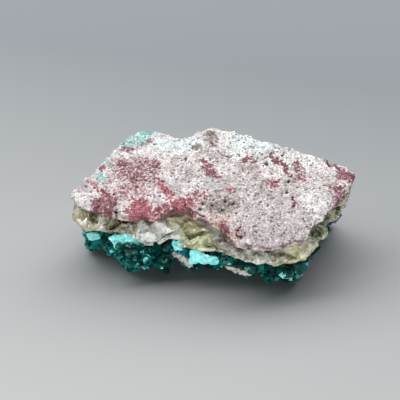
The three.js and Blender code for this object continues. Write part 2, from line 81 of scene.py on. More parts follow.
# Each stain: its colour, the middle (x, y), half length and half width in millimetres, its turn
# in degrees, and the share of grains that it colours.
ROCK_STAINS = [
    ("turquoise", -16.1, 12.8, 5.2, 1.3, 23, 0.52),
    ("turquoise", -13.9, 14.4, 2.4, 0.9, 7, 1.0),
    ("turquoise", -23.2, 3.2, 1.3, 1.1, 0, 0.7),
    ("turquoise", -23.2, 7.1, 1.0, 0.8, 0, 0.5),
    ("turquoise", -0.3, 0.3, 0.6, 0.5, 0, 0.45),
    ("wine", -18.4, 10.1, 1.2, 0.9, 0, 0.75),
    ("wine", -13.5, 12.4, 0.9, 0.6, 0, 0.55),
    ("wine", -16.0, 3.6, 5.1, 4.0, 0, 0.6),
    ("wine", -19.1, 6.1, 1.6, 1.4, 0, 0.75),
    ("wine", -12.2, 5.3, 1.3, 2.1, 0, 0.65),
    ("wine", -23.5, 5.5, 1.0, 1.0, 0, 0.7),
    ("wine", -4.6, -6.6, 2.6, 0.35, -33, 0.9),
    ("wine", -22.7, -4.1, 2.7, 2.7, 0, 0.9),
    ("wine", -23.0, -5.4, 2.1, 1.6, 0, 0.9),
    ("wine", -21.0, -3.9, 1.1, 1.7, 0, 0.8),
    ("wine", -14.9, -4.7, 1.8, 1.9, 0, 0.5),
    ("wine", -6.4, 6.4, 1.1, 0.6, 0, 0.5),
    ("wine", -8.4, 2.6, 0.9, 0.9, 0, 0.45),
    ("wine", -6.7, 4.8, 0.5, 0.6, 0, 0.4),
    ("wine", 0.1, 10.6, 1.0, 0.9, 0, 0.55),
    ("wine", -0.7, 3.7, 3.2, 1.2, -61, 0.85),
    ("wine", 2.3, 8.4, 0.6, 1.3, 0, 0.35),
    ("wine", 7.1, 6.7, 1.9, 1.3, 0, 0.72),
    ("wine", 9.4, 3.1, 1.0, 1.2, 0, 0.4),
    ("wine", 14.2, 5.3, 4.3, 0.7, -48, 0.95),
    ("wine", 17.8, 4.8, 1.1, 1.8, 0, 0.7),
    ("wine", 18.5, 2.5, 0.9, 1.3, 0, 0.6),
    ("wine", 16.5, -4.3, 0.7, 1.7, 0, 0.6),
    ("wine", 2.2, -10.6, 1.6, 2.2, 0, 0.9),
    ("wine", 4.9, -11.3, 0.9, 1.4, 0, 0.5),
    ("wine", 28.0, 3.2, 2.1, 1.9, 0, 0.85),
    ("wine", 25.9, -1.6, 1.6, 2.5, 0, 0.75),
    ("wine", 25.4, 5.8, 2.8, 0.5, -40, 0.85),
    ("red", -24.5, 0.3, 2.8, 0.7, -45, 0.62),
    ("red", -17.3, -1.1, 6.4, 2.1, 0, 0.36),
    ("red", -15.3, -5.7, 2.7, 2.8, 0, 0.95),
    ("red", -10.9, -6.4, 5.0, 1.4, 10, 0.72),
    ("red", -7.0, -5.2, 4.1, 1.4, 4, 0.9),
    ("wine", -5.3, -6.1, 2.8, 0.5, -31, 0.5),
    ("red", -10.1, -1.2, 3.5, 1.0, -61, 0.9),
    ("red", -4.1, -2.8, 1.6, 0.9, 0, 0.6),
    ("red", -1.8, -3.1, 1.3, 0.9, 0, 0.6),
    ("red", 12.4, -0.1, 1.3, 1.3, 0, 0.75),
    ("red", 3.7, -2.1, 1.2, 0.8, 0, 0.62),
    ("wine", -1.6, -8.2, 2.8, 0.35, -33, 0.6),
    ("wine", 1.9, -11.3, 2.4, 0.5, -46, 0.6),
    ("tan", -14.6, 11.8, 1.8, 1.0, 0, 0.6),
    ("tan", -3.6, 10.1, 1.1, 1.0, 0, 0.8),
    ("tan", -15.5, -0.1, 1.3, 0.8, 0, 0.5),
    ("tan", -16.4, -1.6, 1.8, 1.0, 0, 0.45),
    ("tan", -0.6, 12.6, 1.8, 1.9, 0, 0.7),
    ("tan", 15.6, 1.0, 0.7, 0.8, 0, 0.5),
    ("tan", 15.3, -2.0, 0.7, 0.8, 0, 0.4),
    ("tan", 1.7, -4.9, 3.8, 1.8, 0, 0.7),
    ("tan", 8.4, 9.4, 1.5, 1.7, 0, 0.35),
    ("lavender", 11.7, -11.0, 7.2, 5.4, 0, 0.85),
    ("lavender", 17.7, -5.9, 1.7, 2.8, 0, 0.7),
    ("lavender", 8.0, -2.5, 8.0, 4.4, 0, 0.4),
    ("peach", 1.3, -8.2, 2.8, 1.6, 0, 0.9),
    ("peach", 3.3, -12.5, 1.7, 2.3, 0, 0.85),
    ("white", -7.1, 11.0, 6.8, 2.7, 0, 1.0),
    ("white", -16.0, 8.9, 1.4, 0.9, 0, 0.9),
    ("white", -21.2, 8.5, 1.7, 1.0, 0, 0.6),
    ("white", 7.1, 11.2, 6.7, 3.9, 0, 1.0),
    ("white", 16.6, 6.4, 6.4, 2.8, 0, 0.7),
    ("white", 21.0, -3.1, 3.6, 4.1, 0, 0.45),
    ("cool", 5.9, 11.5, 1.9, 1.9, 0, 0.6),
    ("cool", -7.0, 11.5, 5.4, 1.8, 0, 0.5),
    ("cool", 10.5, 10.4, 2.7, 1.6, 0, 0.5),
]
STAIN_CHANNELS = {
    "stains": ("wine", "red", "turquoise", "tan"),
    "tints": ("lavender", "peach", "white", "cool"),
}

# Vugs and lost grains: middle (x, y) and radius in millimetres.
ROCK_PITS = [
    (-28.6, -3.5, 0.36), (-20.1, -5.9, 0.45), (-19.9, -6.5, 0.27), (11.2, 5.6, 0.45),
    (14.6, 7.8, 0.36), (-3.6, -2.4, 0.23), (2.4, -4.1, 0.36), (4.0, -4.5, 0.32),
    (1.7, -5.6, 0.28), (-0.3, -4.9, 0.32), (4.6, -6.9, 0.26), (3.1, -7.4, 0.26),
    (4.9, -11.0, 0.34), (5.3, -10.4, 0.30), (4.7, -11.9, 0.30), (2.5, -11.9, 0.30),
    (6.3, -11.7, 0.27), (16.4, -3.0, 0.32), (16.5, -5.2, 0.32), (15.7, 1.0, 0.36),
    (15.2, -2.0, 0.32), (-23.9, -4.1, 0.27), (-24.8, -2.6, 0.23), (-2.2, -4.8, 0.34),
    (-2.8, -6.1, 0.34), (-2.0, -7.4, 0.30), (10.5, -7.5, 0.23), (7.6, -9.2, 0.20),
    (19.5, -6.9, 0.23), (16.7, -11.4, 0.18), (22.1, -0.4, 0.23), (-12.1, 7.7, 0.23),
    (-10.3, 1.0, 0.27), (3.3, 9.8, 0.23), (24.7, 7.4, 0.45),
]


def merged_copy(node, name):
    """A new object with a CAD node's mesh, its loose triangles joined."""
    shape = bmesh.new()
    shape.from_mesh(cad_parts[node].data)
    bmesh.ops.remove_doubles(shape, verts=shape.verts, dist=0.001 * MM)
    mesh = bpy.data.meshes.new(name)
    shape.to_mesh(mesh)
    shape.free()
    piece = bpy.data.objects.new(name, mesh)
    bpy.context.scene.collection.objects.link(piece)
    return piece


def finish_modifiers(piece):
    """Makes the modifiers' result the piece's own mesh."""
    graph = bpy.context.evaluated_depsgraph_get()
    mesh = bpy.data.meshes.new_from_object(piece.evaluated_get(graph))
    piece.modifiers.clear()
    piece.data = mesh


def fine_skin(piece, cell, smoothing):
    """Remeshes a piece in small even cells and rounds its corners a little."""
    remesh = piece.modifiers.new("skin", "REMESH")
    remesh.mode = "VOXEL"
    remesh.voxel_size = cell
    remesh.use_smooth_shade = True
    smooth = piece.modifiers.new("round", "SMOOTH")
    smooth.factor = 0.5
    smooth.iterations = smoothing
    finish_modifiers(piece)


def drop_crumbs(piece):
    """Deletes any crumb of a skin that isn't joined to its main body."""
    shape = bmesh.new()
    shape.from_mesh(piece.data)
    unseen = set(shape.verts)
    bodies = []
    while unseen:
        front = [unseen.pop()]
        body = list(front)
        while front:
            corner = front.pop()
            beside = [edge.other_vert(corner) for edge in corner.link_edges]
            found = [other for other in beside if other in unseen]
            unseen.difference_update(found)
            front += found
            body += found
        bodies.append(body)
    bodies.sort(key=len)
    crumbs = [corner for body in bodies[:-1] for corner in body]
    bmesh.ops.delete(shape, geom=crumbs, context="VERTS")
    shape.to_mesh(piece.data)
    shape.free()


def points_of(piece):
    points = np.empty(3 * len(piece.data.vertices), np.float32)
    piece.data.vertices.foreach_get("co", points)
    return points.reshape(-1, 3).astype(float)


def normals_of(piece):
    normals = np.empty(3 * len(piece.data.vertices), np.float32)
    piece.data.vertices.foreach_get("normal", normals)
    return normals.reshape(-1, 3).astype(float)


def set_points(piece, points):
    piece.data.vertices.foreach_set("co", points.astype(np.float32).ravel())
    piece.data.update()


def lumps(points, size, seed):
    """Smooth noise from about -1 to 1 at each point, in lumps of the given size."""
    moved = Vector((seed * 7.31, seed * 3.17, seed * 1.93))
    return np.array([noise.noise(Vector(p) / size + moved) for p in points])


def with_lumps(rise, points, layers, more_seed=0, weight=1.0):
    """Adds layers of lumps to a rise in millimetres."""
    for height, size, seed in layers:
        rise = rise + height * weight * lumps(points, size * MM, seed + more_seed)
    return rise


def wandering(points, size, seeds):
    """Noise in as many directions as there are seeds, one column each."""
    return np.stack([lumps(points, size * MM, seed) for seed in seeds], 1)


def grains(points, size):
    """How far each point stands out on its grain: 1 in the middle of one, 0 between grains."""
    near = np.array([noise.voronoi(Vector(p) / size)[0][:2] for p in points])
    return np.clip((near[:, 1] - near[:, 0]) * 1.6, 0, 1)


def smooth_step(value, low, high):
    """0 up to low, 1 from high on, and an even curve between. Low may be the larger."""
    share = np.clip((value - low) / (high - low), 0, 1)
    return share * share * (3 - 2 * share)


def paint(piece, attribute, channels):
    """Stores up to four shares per vertex, for the material to read."""
    shares = np.zeros((len(piece.data.vertices), 4), np.float32)
    for column, channel in enumerate(channels):
        shares[:, column] = channel
    layer = piece.data.attributes.new(attribute, "FLOAT_COLOR", "POINT")
    layer.data.foreach_set("color", shares.ravel())


def plan_of_edge(points, normals, steepness):
    """A search tree of the points on a slab's broken edge, by their places in plan."""
    edge_points = np.flatnonzero(np.abs(normals[:, 2]) < steepness)
    tree = kdtree.KDTree(len(edge_points))
    for which in edge_points:
        tree.insert((points[which][0], points[which][1], 0), int(which))
    tree.balance()
    return tree


def undercut(piece, inward, reach):
    """Draws the lower part of a plate's broken edge in, so that its left half overhangs."""
    points, normals = points_of(piece), normals_of(piece)
    tree = plan_of_edge(points, normals, steepness=0.5)
    for point in points:
        near = tree.find_n((point[0], point[1], 0), 12)
        distance = near[0][2]
        if distance > reach:
            continue
        edge_points = [found[1] for found in near]
        top = points[edge_points, 2].max() + UNDERCUT_START
        outward = normals[edge_points, :2].mean(axis=0)
        share = np.clip((top - point[2]) / UNDERCUT_DEPTH, 0, 1) * (1 - distance / reach)
        share *= smooth_step(point[0], *UNDERCUT_END)
        point[:2] -= outward / max(np.linalg.norm(outward), 0.1) * share * inward
    set_points(piece, points)


host_rock = merged_copy("host_rock", "host_rock_skin")
fine_skin(host_rock, ROCK_SKIN_CELL, ROCK_SKIN_SMOOTHING)
undercut(host_rock, UNDERCUT, UNDERCUT_REACH)
rock_points = points_of(host_rock)
rock_normals = normals_of(host_rock)
rock_plan = rock_points[:, :2] / MM
faces_up = smooth_step(rock_normals[:, 2], 0.1, 0.6)
faces_out = 1 - np.abs(rock_normals[:, 2])
rock_relief = with_lumps(0.0, rock_points, ROCK_LUMPS)
rock_relief += ROCK_GRAIN_HEIGHT * (grains(rock_points, ROCK_GRAIN) - ROCK_GRAIN_LEVEL)
rock_relief = with_lumps(rock_relief, rock_points, ROCK_EDGE_LUMPS, weight=faces_out)
pit_depth = np.zeros(len(rock_points))
for x, y, radius in ROCK_PITS:
    away = np.hypot(rock_plan[:, 0] - x, rock_plan[:, 1] - y)
    pit_depth = np.maximum(pit_depth, smooth_step(away, 1.25 * radius, 0.45 * radius) * radius)
lost_grains = smooth_step(lumps(rock_points, LOST_GRAIN * MM, 4), 0.42, 0.62)
rock_relief -= faces_up * (PIT_DEPTH * pit_depth + LOST_GRAIN_DEPTH * lost_grains)
set_points(host_rock, rock_points + rock_normals * (rock_relief * MM)[:, None])

# The stains, with ragged edges
stain_plan = rock_plan
for distance, size, seeds in (STAIN_WANDER, STAIN_RAGGED):
    stain_plan = stain_plan + distance * wandering(rock_points, size, seeds)
stain_names = [name for names in STAIN_CHANNELS.values() for name in names]
stain_share = {name: np.zeros(len(rock_points)) for name in stain_names}
for name, x, y, half_length, half_width, turn, share in ROCK_STAINS:
    angle = math.radians(turn)
    away = stain_plan - (x, y)
    along = away @ (math.cos(angle), math.sin(angle)) / half_length
    across = away @ (-math.sin(angle), math.cos(angle)) / half_width
    inside = share * smooth_step(np.hypot(along, across), 1.5, 0.5)
    stain_share[name] = np.maximum(stain_share[name], inside)

# Painted shade in patches on the broken edge where it faces out and down: it darkens the edge
# and turns some of its grains wine
rim_shade = 0.9 * smooth_step(rock_normals[:, 2], 0.35, -0.15)
rim_shade *= smooth_step(lumps(rock_points, 2.2 * MM, 10), -0.3, 0.2)
# Some of the edge's painted shade is shown as wine grains
stain_share["wine"] = np.maximum(stain_share["wine"], 0.5 * rim_shade)
for attribute, names in STAIN_CHANNELS.items():
    paint(host_rock, attribute, [stain_share[name] for name in names])
# Painted shade in the pits and lost grains, and on the broken edge, for the material to darken
painted_hollow_shade = np.clip(2.4 * pit_depth + 0.5 * lost_grains * faces_up, 0, 1)
paint(host_rock, "relief", [np.maximum(painted_hollow_shade, 0.85 * rim_shade)])


def new_material(name):
    """A material with only an output and a Principled shader. Gives it, its tree and its shader."""
    material = bpy.data.materials.new(name)
    material.use_nodes = True
    tree = material.node_tree
    tree.nodes.clear()
    output = tree.nodes.new("ShaderNodeOutputMaterial")
    shader = tree.nodes.new("ShaderNodeBsdfPrincipled")
    tree.links.new(shader.outputs[0], output.inputs["Surface"])
    return material, tree, shader


def dress(piece, finish):
    """Makes a material the only one of a piece."""
    piece.data.materials.clear()
    piece.data.materials.append(finish)


def put(tree, socket, value):
    """Sets a socket to a value, or links another node's output to it."""
    if isinstance(value, bpy.types.NodeSocket):
        tree.links.new(value, socket)
    elif isinstance(value, tuple) and len(value) == 3 and socket.type == "RGBA":
        socket.default_value = (*value, 1)
    else:
        socket.default_value = value


def shade_node(tree, kind, inputs, **settings):
    """A new shader node with its inputs and settings."""
    made = tree.nodes.new("ShaderNode" + kind)
    for name, value in settings.items():
        setattr(made, name, value)
    for name, value in inputs.items():
        put(tree, made.inputs[name], value)
    return made


def sums(tree, operation, first, second=0.0, third=0.0, clamped=False):
    """The result of a Math node."""
    inputs = {0: first, 1: second, 2: third}
    return shade_node(tree, "Math", inputs, operation=operation, use_clamp=clamped).outputs[0]


def colour_mix(tree, share, first, second, blend_type="MIX"):
    """The first colour, or the second by the given share."""
    inputs = {0: share, 6: first, 7: second}
    settings = {"data_type": "RGBA", "blend_type": blend_type, "clamp_factor": True}
    return shade_node(tree, "Mix", inputs, **settings).outputs[2]


def stretched(tree, value, low, high, to_low, to_high):
    """A value from low to high, stretched to run from to_low to to_high."""
    inputs = {0: value, 1: low, 2: high, 3: to_low, 4: to_high}
    return shade_node(tree, "MapRange", inputs).outputs[0]


def place(tree):
    """Where a point is on the object."""
    return shade_node(tree, "TexCoord", {}).outputs["Object"]


def shares_of(tree, attribute):
    """The four painted shares of an attribute."""
    read = shade_node(tree, "Attribute", {}, attribute_name=attribute)
    split = shade_node(tree, "SeparateColor", {0: read.outputs["Color"]})
    return [*split.outputs[:3], read.outputs["Alpha"]]


def cells(tree, size, feature="F1"):
    """A Voronoi node with cells of about the given size."""
    inputs = {"Vector": place(tree), "Scale": 1 / size}
    return shade_node(tree, "TexVoronoi", inputs, feature=feature)


def clouds(tree, size, detail=3.0, roughness=0.6):
    """Soft noise in patches of about the given size."""
    inputs = {"Vector": place(tree), "Scale": 1 / size, "Detail": detail, "Roughness": roughness}
    return shade_node(tree, "TexNoise", inputs).outputs["Fac"]


def bumps(tree, shader, height, depth, strength=1.0):
    """Fine relief in the shading alone, too small for the mesh."""
    inputs = {"Height": height, "Distance": depth, "Strength": strength}
    put(tree, shader.inputs["Normal"], shade_node(tree, "Bump", inputs).outputs[0])


def dark_specks(tree, spacing, rarest, widest):
    """Round dark spots, one in some of the cells: 1 on a spot, 0 elsewhere."""
    spot = cells(tree, spacing)
    chance = shade_node(tree, "SeparateColor", {0: spot.outputs["Color"]}).outputs[0]
    radius = stretched(tree, chance, rarest, 1, 0.0, widest)
    return stretched(tree, sums(tree, "SUBTRACT", radius, spot.outputs["Distance"]), 0, 0.1, 0, 1)


# The rock's finish: each grain takes a stain or keeps its own pale colour.
GRAIN_CELL = 0.40 * MM
# How much darker and lighter than the rest a grain may be
GRAIN_LIGHT = (0.66, 1.36)
# Two sizes of dark speck: how far apart, the share of cells with none, and the widest in cells
ROCK_SPECKS = [(1.1 * MM, 0.5, 0.34), (0.62 * MM, 0.45, 0.46)]
# The colour of the dark specks, and of the painted shade in the hollows and on the broken edge
ROCK_DARK = (0.060, 0.038, 0.040)
ROCK_ROUGHNESS = (0.62, 0.95)
ROCK_TINTS = {
    "lavender": (0.61, 0.54, 0.55),
    "peach": (0.72, 0.55, 0.46),
    "white": (0.90, 0.90, 0.885),
    "cool": (0.72, 0.89, 0.89),
}
# Each stain runs from a dark to a light grain of it, over pale grains that it has only tinged.
ROCK_STAIN_COLOURS = {
    "tan": ((0.26, 0.21, 0.19), (0.56, 0.50, 0.46), (0.62, 0.56, 0.52)),
    "wine": ((0.17, 0.050, 0.066), (0.56, 0.28, 0.32), (0.64, 0.45, 0.47)),
    "red": ((0.25, 0.036, 0.058), (0.84, 0.42, 0.45), (0.76, 0.50, 0.52)),
    "turquoise": ((0.20, 0.56, 0.53), (0.50, 0.84, 0.80), (0.64, 0.84, 0.83)),
}
ROCK_PLAIN = ((0.50, 0.43, 0.425), (0.93, 0.87, 0.86))
rock_finish, tree, shader = new_material("host_rock_grains")
grain = cells(tree, GRAIN_CELL)
grain_random = shade_node(tree, "SeparateColor", {0: grain.outputs["Color"]}).outputs
fine_noise = stretched(tree, clouds(tree, 0.5 * MM), 0.33, 0.67, 0, 1)
broad_noise = stretched(tree, clouds(tree, 3.2 * MM, 5.0), 0.35, 0.65, 0, 1)
luck = sums(tree, "MULTIPLY_ADD", grain_random[0], 0.55, sums(tree, "MULTIPLY", fine_noise, 0.45))
stain_shares = dict(zip(STAIN_CHANNELS["stains"], shares_of(tree, "stains")))
tint_shares = dict(zip(STAIN_CHANNELS["tints"], shares_of(tree, "tints")))
rock_colour = colour_mix(tree, broad_noise, *ROCK_PLAIN)
for name, colour in ROCK_TINTS.items():
    rock_colour = colour_mix(tree, tint_shares[name], rock_colour, colour)
for name, (_, _, tinged) in ROCK_STAIN_COLOURS.items():
    touched = sums(tree, "MULTIPLY", stain_shares[name], 0.8)
    rock_colour = colour_mix(tree, touched, rock_colour, tinged)
grain_light = stretched(tree, grain_random[1], 0, 1, *GRAIN_LIGHT)
rock_colour = colour_mix(tree, 1.0, rock_colour, grain_light, "MULTIPLY")
for name, (dark, light, _) in ROCK_STAIN_COLOURS.items():
    wanted = sums(tree, "MULTIPLY", stain_shares[name], 0.92)
    taken = sums(tree, "MULTIPLY_ADD", sums(tree, "SUBTRACT", wanted, luck), 4.0, 0.5, clamped=True)
    toned = colour_mix(tree, sums(tree, "MULTIPLY", grain_random[1], fine_noise), dark, light)
    rock_colour = colour_mix(tree, taken, rock_colour, toned)

# Specks and the lines between grains are dark; painted shade darkens the hollows and broken edge
between = cells(tree, GRAIN_CELL, "DISTANCE_TO_EDGE").outputs["Distance"]
specks = sums(tree, "MAXIMUM", *(dark_specks(tree, *speck) for speck in ROCK_SPECKS))
painted_shade_share = shares_of(tree, "relief")[0]
darkness = sums(tree, "MAXIMUM", sums(tree, "MULTIPLY", specks, 0.74), painted_shade_share)
darkness = sums(tree, "MAXIMUM", darkness, stretched(tree, between, 0, 0.12, 0.4, 0))
rock_colour = colour_mix(tree, darkness, rock_colour, ROCK_DARK)
put(tree, shader.inputs["Base Color"], rock_colour)
put(tree, shader.inputs["Roughness"], stretched(tree, grain_random[2], 0, 1, *ROCK_ROUGHNESS))
shader.inputs["Specular IOR Level"].default_value = 0.35
height = sums(tree, "MULTIPLY_ADD", grain.outputs["Distance"], -0.7, fine_noise)
height = sums(tree, "SUBTRACT", height, sums(tree, "MULTIPLY", specks, 0.8))
bumps(tree, shader, height, 0.22 * MM)

dress(host_rock, rock_finish)
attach(host_rock, "root")
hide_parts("host_rock")


# Calcite seam
#
# One mass of broken calcite under the rock: honey, milky, smoky, olive and bottle green by turns,
# clear enough for light to spread inside it. Its near side slopes out from under the rock, and
# is broken along cleavage planes into flat facets, broad ones and fine ones on them.

CALCITE_ROUGH_CELL = 0.36 * MM
CALCITE_ROUGH_SMOOTHING = 4
CALCITE_SKIN_CELL = 0.24 * MM
CALCITE_SKIN_SMOOTHING = 6

# The slope: how high it starts above the seam's lower outer edge, its steepness, how much higher
# the seam stays where it isn't broken away, and where that is: behind, and at the left end
SLOPE_FOOT = 1.0 * MM
SLOPE_STEEPNESS = 0.8
UNBROKEN_RISE = 2.5 * MM
UNBROKEN_BEHIND = (-3 * MM, 3 * MM)
UNBROKEN_LEFT = (-22 * MM, -27 * MM)

# The facets, broad and fine: how many, how far they tilt, how deep they cut, how far they stand
# proud, and the seed
BROAD_FACETS = (240, 0.24, 0.75 * MM, 0.30 * MM, 5)
FINE_FACETS = (1440, 0.20, 0.17 * MM, 0.05 * MM, 6)
# How far in from the edge the facets go on over the seam's top
FACET_SHELF = (4.6 * MM, 3.6 * MM)
# How far out along the seam the facets have their full tilt, and the share of it at the ends
FULL_TILT = (27 * MM, 23 * MM)
END_TILT = 0.6
# The least that a facet's plane may face as the skin does
LEAST_FACING = 0.4

# The zones are rods that run back and down into the seam. Their outlines wander: the distance and
# the size of the lumps in millimetres, and three seeds.
ZONE_RUN = np.array([0, 0.743, -0.669])
ZONE_WANDER = (0.7, 1.5, (12, 13, 14))
# Each zone: its colour, a point in its middle and its radius in millimetres, and its strength.
CALCITE_ZONES = [
    ("honey", -27.7, -5.2, 9.2, 3.4, 0.8),
    ("milk", -22.9, -6.1, 9.4, 1.5, 1.0),
    ("olive", -20.1, -7.1, 9.2, 2.4, 1.0),
    ("milk", -16.2, -8.2, 8.8, 2.2, 0.7),
    ("milk", -13.1, -8.8, 9.1, 3.2, 0.85),
    ("milk", -10.6, -10.0, 8.6, 2.4, 0.75),
    ("milk", -7.9, -9.2, 8.9, 1.5, 0.9),
    ("milk", -6.9, -10.3, 7.7, 1.4, 0.8),
    ("honey", -6.5, -5.7, 9.9, 2.6, 0.9),
    ("honey", -3.2, -6.8, 9.5, 2.6, 0.9),
    ("green", -4.8, -10.7, 8.6, 2.6, 0.8),
    ("green", -2.4, -10.8, 7.9, 2.4, 0.8),
    ("milk", 0.5, -8.7, 9.0, 2.0, 0.45),
    ("milk", -1.4, -9.6, 8.8, 1.4, 0.4),
    ("smoke", 0.5, -11.8, 7.1, 2.0, 0.5),
    ("smoke", 3.7, -13.2, 7.7, 2.2, 0.45),
    ("milk", 7.4, -14.2, 7.2, 2.2, 0.3),
    ("milk", 10.4, -15.2, 6.8, 1.4, 0.6),
    ("honey", 17.6, -13.7, 8.2, 3.0, 0.45),
    ("honey", 20.1, -12.0, 8.8, 2.6, 0.4),
    ("bottle", 22.4, -7.4, 9.5, 2.6, 0.9),
    ("bottle", 20.1, -10.2, 9.3, 1.6, 0.7),
    ("smoke", 25.9, -3.0, 10.5, 2.8, 0.9),
    ("smoke", 27.6, 0.8, 10.5, 2.4, 0.8),
    ("smoke", 11.4, -14.8, 8.1, 1.6, 0.4),
    ("olive", -17.7, -7.1, 9.2, 1.8, 0.8),
    ("olive", -27.7, -5.2, 9.2, 4.6, 0.8),
    ("olive", -20.1, -7.1, 9.2, 3.4, 0.5),
]
CALCITE_PLAIN = ((0.25, 0.243, 0.17), (0.60, 0.585, 0.46))
CALCITE_CRACK = (0.93, 0.95, 0.88)
CALCITE_COLOURS = {
    "honey": (0.74, 0.67, 0.42),
    "milk": (0.86, 0.98, 0.80),
    "smoke": (0.27, 0.255, 0.195),
    "green": (0.55, 0.585, 0.31),
    "bottle": (0.15, 0.19, 0.10),
    "olive": (0.25, 0.232, 0.14),
}
# How dark and how light each colour gets, and the lightest that any part of it may be
ZONE_DARK = 0.62
ZONE_LIGHT = 1.35
LIGHTEST = 0.95


def show_flat(piece):
    """Shades every face flat."""
    piece.data.polygons.foreach_set("use_smooth", [False] * len(piece.data.polygons))


def facet(piece, count, tilt, deepest, proud, seed):
    """Cuts a skin's upright faces and the outer part of its top into flat facets that meet at
    ridges, one round each of some random points. Gives each vertex a random number that is the
    same all over its facet."""
    points, normals = points_of(piece), normals_of(piece)
    upright = 1 - smooth_step(np.abs(normals[:, 2]), 0.85, 0.97)
    edge_tree = plan_of_edge(points, normals, steepness=0.3)
    away = np.array([edge_tree.find((x, y, 0))[2] for x, y, z in points])
    shelf = smooth_step(away, *FACET_SHELF) * (normals[:, 2] > 0)
    upright = np.maximum(upright, shelf)
    luck = np.random.default_rng(seed)
    middles = luck.choice(np.flatnonzero(upright > 0.5), count, replace=False)
    full = smooth_step(np.abs(points[middles, 0]), *FULL_TILT)
    tilts = tilt * (END_TILT + (1 - END_TILT) * full)
    planes = normals[middles] + tilts[:, None] * luck.normal(size=(count, 3))
    planes /= np.linalg.norm(planes, axis=1)[:, None]
    tones = luck.random(count)
    tree = kdtree.KDTree(count)
    for which, middle in enumerate(middles):
        tree.insert(points[middle], which)
    tree.balance()
    near = np.array([[found[1] for found in tree.find_n(p, 4)] for p in points])
    reach = points[middles][near] - points[:, None, :]
    facing = np.einsum("nkc,nc->nk", planes[near], normals)
    heights = np.einsum("nkc,nkc->nk", reach, planes[near]) / np.maximum(facing, LEAST_FACING)
    heights[facing < LEAST_FACING] = deepest
    lowest = np.argmin(heights, axis=1)
    every = np.arange(len(points))
    rise = np.clip(heights[every, lowest] + proud, -deepest, 0.35 * deepest)
    set_points(piece, points + normals * (rise * upright)[:, None])
    show_flat(piece)
    return tones[near[every, lowest]]


def slope_edge(piece, lowest, steepness):
    """Breaks away the upper outer corner of the seam's near side, so that a slope leads from its
    top down to the given height above its lower outer edge."""
    points, normals = points_of(piece), normals_of(piece)
    tree = plan_of_edge(points, normals, steepness=0.3)
    for point in points:
        near = tree.find_n((point[0], point[1], 0), 24)
        foot = points[[found[1] for found in near], 2].min()
        behind = smooth_step(point[1], *UNBROKEN_BEHIND)
        at_left = smooth_step(point[0], *UNBROKEN_LEFT)
        whole = UNBROKEN_RISE * max(behind, at_left)
        point[2] = min(point[2], foot + lowest + whole + steepness * near[0][2])
    set_points(piece, points)


calcite = merged_copy("calcite_seam", "calcite_seam_skin")
fine_skin(calcite, CALCITE_ROUGH_CELL, CALCITE_ROUGH_SMOOTHING)
slope_edge(calcite, SLOPE_FOOT, SLOPE_STEEPNESS)
fine_skin(calcite, CALCITE_SKIN_CELL, CALCITE_SKIN_SMOOTHING)
facet_tone = facet(calcite, *BROAD_FACETS)
fine_tone = facet(calcite, *FINE_FACETS)
facet_tone = 0.6 * facet_tone + 0.4 * fine_tone

calcite_points = points_of(calcite)
distance, size, seeds = ZONE_WANDER
warped = calcite_points / MM + distance * wandering(calcite_points, size, seeds)
zone_share = {name: np.zeros(len(calcite_points)) for name in CALCITE_COLOURS}
for name, x, y, z, radius, strength in CALCITE_ZONES:
    reach = warped - (x, y, z)
    across = reach - np.outer(reach @ ZONE_RUN, ZONE_RUN)
    away = np.linalg.norm(across, axis=1)
    inside = strength * smooth_step(away, 1.3 * radius, 0.75 * radius)
    zone_share[name] = np.maximum(zone_share[name], inside)
paint(calcite, "zones", [zone_share[name] for name in ("honey", "milk", "smoke", "green")])
paint(calcite, "deep", [zone_share["bottle"], facet_tone, zone_share["olive"]])
drop_crumbs(calcite)

calcite_finish, tree, shader = new_material("calcite_cleavage")
veil = clouds(tree, 1.5 * MM, 4.0, 0.55)
streak = shade_node(
    tree, "TexWave",
    {"Vector": place(tree), "Scale": 260.0, "Distortion": 9.0, "Detail": 3.0, "Detail Scale": 2.0},
    bands_direction="DIAGONAL",
).outputs["Fac"]
bottle_share, facet_share, olive_share = shares_of(tree, "deep")[:3]
veiled = sums(tree, "MULTIPLY_ADD", streak, 0.15, sums(tree, "MULTIPLY", veil, 0.5))
veiled = stretched(tree, sums(tree, "MULTIPLY_ADD", facet_share, 0.6, veiled), 0.36, 0.84, 0, 1)
calcite_colour = colour_mix(tree, veiled, *CALCITE_PLAIN)
shares = dict(zip(("honey", "milk", "smoke", "green"), shares_of(tree, "zones")))
shares["bottle"] = bottle_share
shares["olive"] = olive_share
for name, colour in CALCITE_COLOURS.items():
    light = tuple(min(LIGHTEST, ZONE_LIGHT * part) for part in colour)
    dark = tuple(ZONE_DARK * part for part in colour)
    toned = colour_mix(tree, veiled, dark, light)
    calcite_colour = colour_mix(tree, shares[name], calcite_colour, toned)
crack = cells(tree, 1.5 * MM, "DISTANCE_TO_EDGE").outputs["Distance"]
crack_share = sums(tree, "MULTIPLY_ADD", shares["milk"], 0.55, 0.3)
crack_light = sums(tree, "MULTIPLY", stretched(tree, crack, 0, 0.09, 1, 0), crack_share)
calcite_colour = colour_mix(tree, crack_light, calcite_colour, CALCITE_CRACK)
put(tree, shader.inputs["Base Color"], calcite_colour)
put(tree, shader.inputs["Roughness"], stretched(tree, veil, 0.35, 0.65, 0.14, 0.4))
shader.inputs["IOR"].default_value = 1.6
shader.inputs["Transmission Weight"].default_value = 0.18
shader.inputs["Subsurface Weight"].default_value = 0.7
shader.inputs["Subsurface Radius"].default_value = (1.0, 0.96, 0.8)
shader.inputs["Subsurface Scale"].default_value = 3.0 * MM
bumps(tree, shader, sums(tree, "ADD", veiled, clouds(tree, 0.35 * MM)), 0.04 * MM, 0.5)

dress(calcite, calcite_finish)
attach(calcite, "root")
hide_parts("calcite_seam")


# Chrysocolla ledges
#
# Five turquoise ledges between the calcite and the dioptase, each a waxy layer a millimetre or
# two thick with a smooth, slightly lumpy face.

LEDGE_SKIN_CELL = 0.11 * MM
LEDGE_SKIN_SMOOTHING = 22
# How much lower a ledge's front is than its back, as a share of its height
LEDGE_SLOPE = 0.6
